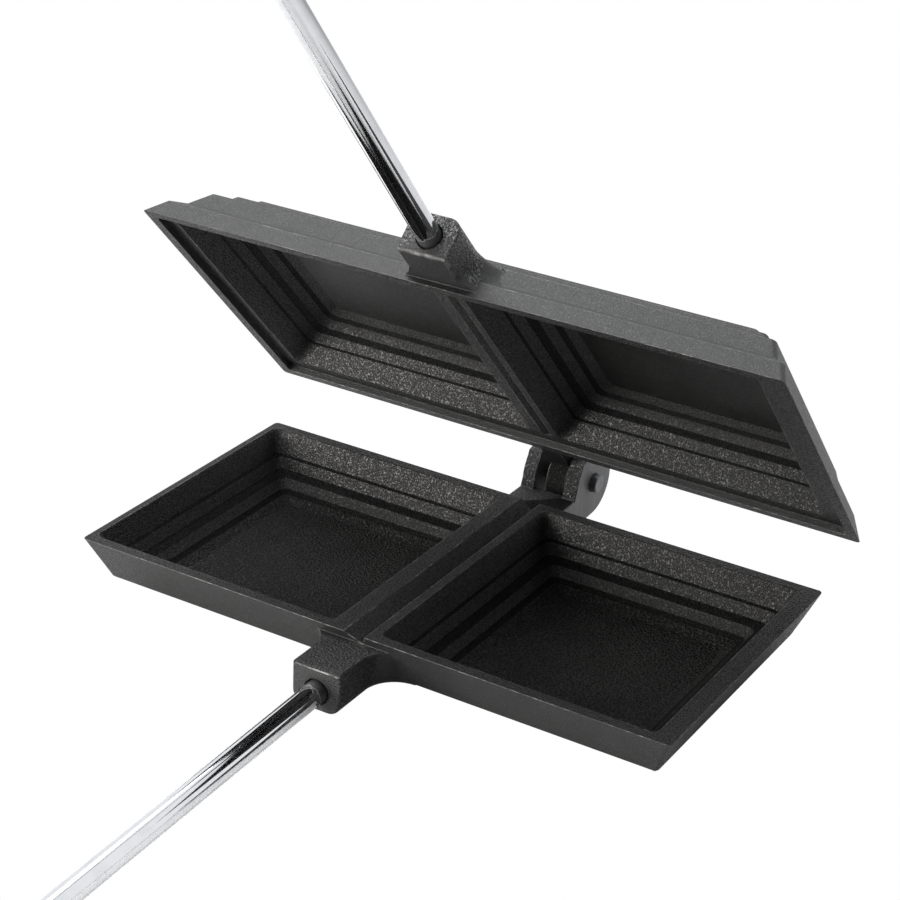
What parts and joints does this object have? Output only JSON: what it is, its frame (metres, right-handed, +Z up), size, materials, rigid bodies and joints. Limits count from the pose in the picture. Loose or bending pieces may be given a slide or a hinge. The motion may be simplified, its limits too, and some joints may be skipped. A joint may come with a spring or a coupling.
{
  "type": "pie iron",
  "caption": "Hinged cast iron pie iron shown open: stepped pans in each half, long bright steel rods and turned wooden grips, for toasting filled bread or dough over a fire.",
  "frame": {"origin": "on the floor, under the middle of the lower half's rim outline, in the plane of its flat base", "axes": "+Z up, square to the base; +Y from the handles towards the hinge; +X to the right as seen from the handles"},
  "size_m": [0.2095, 0.7111, 0.5587],
  "materials": {
    "lower_iron": "sand-cast, seasoned black",
    "upper_iron": "sand-cast, seasoned black",
    "pin_steel": "dull dark steel",
    "rod_chrome": "bright plated",
    "ferrule_steel": "satin",
    "grip_wood": "turned, oiled",
    "nail_steel": "plain wire nail"
  },
  "bodies": {
    "lower": {"lower_half": "lower_iron", "hinge_pin": "pin_steel", "lower_rod": "rod_chrome", "lower_ferrule": "ferrule_steel", "lower_grip": "grip_wood", "lower_grip_nail": "nail_steel"},
    "upper": {"upper_half": "upper_iron", "upper_rod": "rod_chrome", "upper_ferrule": "ferrule_steel", "upper_grip": "grip_wood", "upper_grip_nail": "nail_steel"}
  },
  "joints": [
    {"name": "hinge", "type": "hinge", "parent": "lower", "child": "upper", "pos_m": [-0.0019, 0.0764, 0.0207], "axis": [-1, 0, 0], "range_deg": [-47, 128]}
  ]
}
